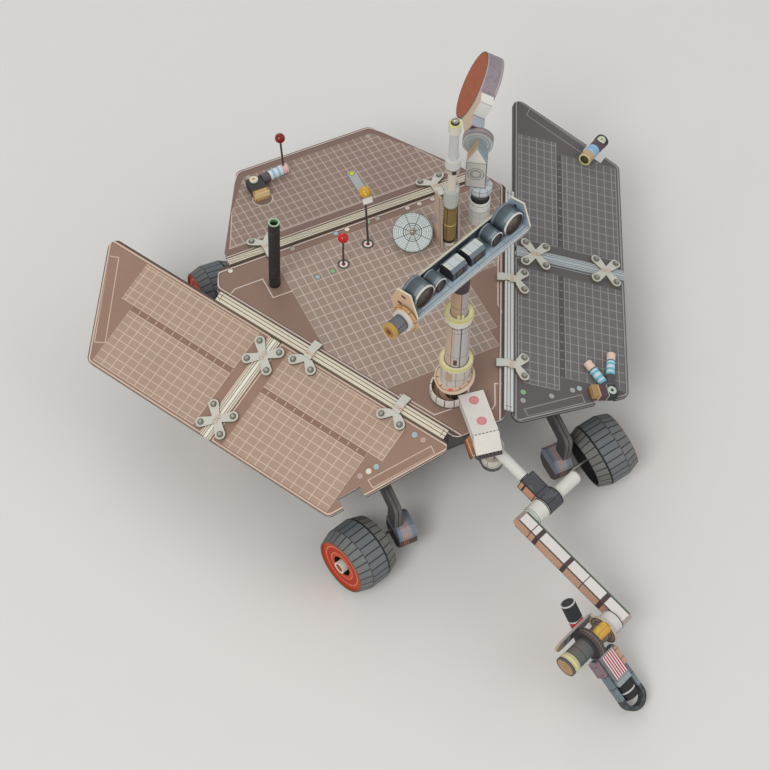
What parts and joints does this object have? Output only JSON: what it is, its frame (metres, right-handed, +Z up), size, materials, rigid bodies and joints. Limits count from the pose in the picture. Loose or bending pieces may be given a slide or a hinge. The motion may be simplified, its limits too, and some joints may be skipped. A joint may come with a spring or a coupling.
{
  "type": "card model planetary rover",
  "caption": "Small card model of a wheeled planetary rover with solar wings, a camera mast, a dish antenna and a front tool arm.",
  "frame": {"origin": "on the ground, under the middle of the whole model's outline in plan", "axes": "-Y forwards, +X to the rover's left, +Z up"},
  "size_m": [0.1688, 0.1904, 0.1],
  "materials": {
    "solar_card": "matte",
    "edge_card": "matte",
    "white_card": "matte",
    "grey_card": "matte",
    "slate_card": "matte",
    "tan_card": "matte",
    "black_card": "matte",
    "rust_card": "matte",
    "wheel_card": "matte",
    "steel_wire": "bright",
    "red_glass": "gloss",
    "amber_glass": "gloss"
  },
  "bodies": {
    "chassis": {"body_box": "grey_card", "central_deck": "solar_card", "rear_panel": "solar_card", "primary_panel_right": "solar_card", "primary_panel_left": "solar_card", "secondary_panel_right": "solar_card", "secondary_panel_left": "solar_card", "hinge_strips": "edge_card", "hinge_brackets": "edge_card", "rockers": "grey_card", "bogies": "grey_card", "drive_boxes": "slate_card", "axle_wires": "steel_wire", "mast_foot": "white_card", "mast_plate": "tan_card", "mast_can": "white_card", "dish_base": "white_card", "low_gain_stack": "white_card", "fairing_plates": "tan_card", "tube_mast": "black_card", "printed_disc": "white_card", "steel_pins": "steel_wire", "red_pins": "red_glass", "amber_pin": "amber_glass", "rear_instrument": "white_card", "wing_cameras": "white_card", "front_cover": "white_card", "arm_bracket": "grey_card"},
    "mast": {"mast_column": "white_card", "mast_neck": "grey_card"},
    "camera_head": {"camera_tray": "grey_card", "camera_drums": "slate_card", "camera_boxes": "slate_card", "bar_end_plates": "tan_card", "tilt_drive": "grey_card"},
    "dish_turntable": {"dish_swivel": "black_card", "gimbal_box": "white_card"},
    "dish_head": {"dish_neck": "white_card", "dish": "rust_card"},
    "arm_shoulder": {"shoulder_can": "white_card"},
    "arm_upper": {"upper_arm": "slate_card", "elbow_drive": "slate_card"},
    "arm_fore": {"elbow_drum": "white_card", "forearm_beam": "tan_card", "wrist_drum": "white_card"},
    "arm_turret": {"turret_frame": "grey_card", "gold_can": "tan_card", "turret_collar": "black_card", "turret_can": "tan_card", "grinder": "grey_card", "grinder_bail": "white_card", "black_can": "black_card"},
    "wheel_front_right": {"wheel_front_right": "wheel_card"},
    "wheel_front_left": {"wheel_front_left": "wheel_card"},
    "wheel_middle_right": {"wheel_middle_right": "wheel_card"},
    "wheel_middle_left": {"wheel_middle_left": "wheel_card"},
    "wheel_rear_right": {"wheel_rear_right": "wheel_card"},
    "wheel_rear_left": {"wheel_rear_left": "wheel_card"}
  },
  "joints": [
    {"name": "front_right_wheel", "type": "hinge", "parent": "chassis", "child": "wheel_front_right", "pos_m": [-0.03844, -0.02531, 0.00957], "axis": [-0.9565, -0.287, 0.0523], "continuous": true},
    {"name": "front_left_wheel", "type": "hinge", "parent": "chassis", "child": "wheel_front_left", "pos_m": [0.03756, -0.02411, 0.00983], "axis": [0.9728, 0.0731, 0.2198], "continuous": true},
    {"name": "middle_right_wheel", "type": "hinge", "parent": "chassis", "child": "wheel_middle_right", "pos_m": [-0.04424, 0.02709, 0.00957], "axis": [-0.9986, 0, 0.0523], "continuous": true},
    {"name": "middle_left_wheel", "type": "hinge", "parent": "chassis", "child": "wheel_middle_left", "pos_m": [0.04376, 0.02709, 0.00957], "axis": [0.9986, 0, 0.0523], "continuous": true},
    {"name": "rear_right_wheel", "type": "hinge", "parent": "chassis", "child": "wheel_rear_right", "pos_m": [-0.03844, 0.07359, 0.00957], "axis": [-0.9986, 0, 0.0523], "continuous": true},
    {"name": "rear_left_wheel", "type": "hinge", "parent": "chassis", "child": "wheel_rear_left", "pos_m": [0.03796, 0.07359, 0.00957], "axis": [0.9986, 0, 0.0523], "continuous": true},
    {"name": "mast_azimuth", "type": "hinge", "parent": "chassis", "child": "mast", "pos_m": [-0.00154, -0.00691, 0.055], "axis": [0, 0, 1], "range_deg": [-170, 170]},
    {"name": "camera_tilt", "type": "hinge", "parent": "mast", "child": "camera_head", "pos_m": [-0.00154, -0.00691, 0.0902], "axis": [0.9367, 0.3502, 0], "range_deg": [-40, 40]},
    {"name": "dish_azimuth", "type": "hinge", "parent": "chassis", "child": "dish_turntable", "pos_m": [0.03236, 0.04489, 0.0485], "axis": [0, 0, 1], "range_deg": [-120, 80]},
    {"name": "dish_tilt", "type": "hinge", "parent": "dish_turntable", "child": "dish_head", "pos_m": [0.033, 0.04936, 0.0664], "axis": [-0.5446, -0.8387, 0], "range_deg": [-60, 20]},
    {"name": "arm_shoulder_turn", "type": "hinge", "parent": "chassis", "child": "arm_shoulder", "pos_m": [0.00316, -0.02171, 0.0245], "axis": [0, 0, 1], "range_deg": [-30, 30]},
    {"name": "arm_shoulder_lift", "type": "hinge", "parent": "arm_shoulder", "child": "arm_upper", "pos_m": [0.00316, -0.02171, 0.0301], "axis": [-0.9361, -0.3518, 0], "range_deg": [0, 35]},
    {"name": "arm_elbow", "type": "hinge", "parent": "arm_upper", "child": "arm_fore", "pos_m": [0.00808, -0.04106, 0.02456], "axis": [-0.9361, -0.3518, 0], "range_deg": [0, 40]},
    {"name": "arm_turret_turn", "type": "hinge", "parent": "arm_fore", "child": "arm_turret", "pos_m": [0.00821, -0.07608, 0.01613], "axis": [-0.9361, -0.3518, 0], "range_deg": [-150, 150]}
  ]
}
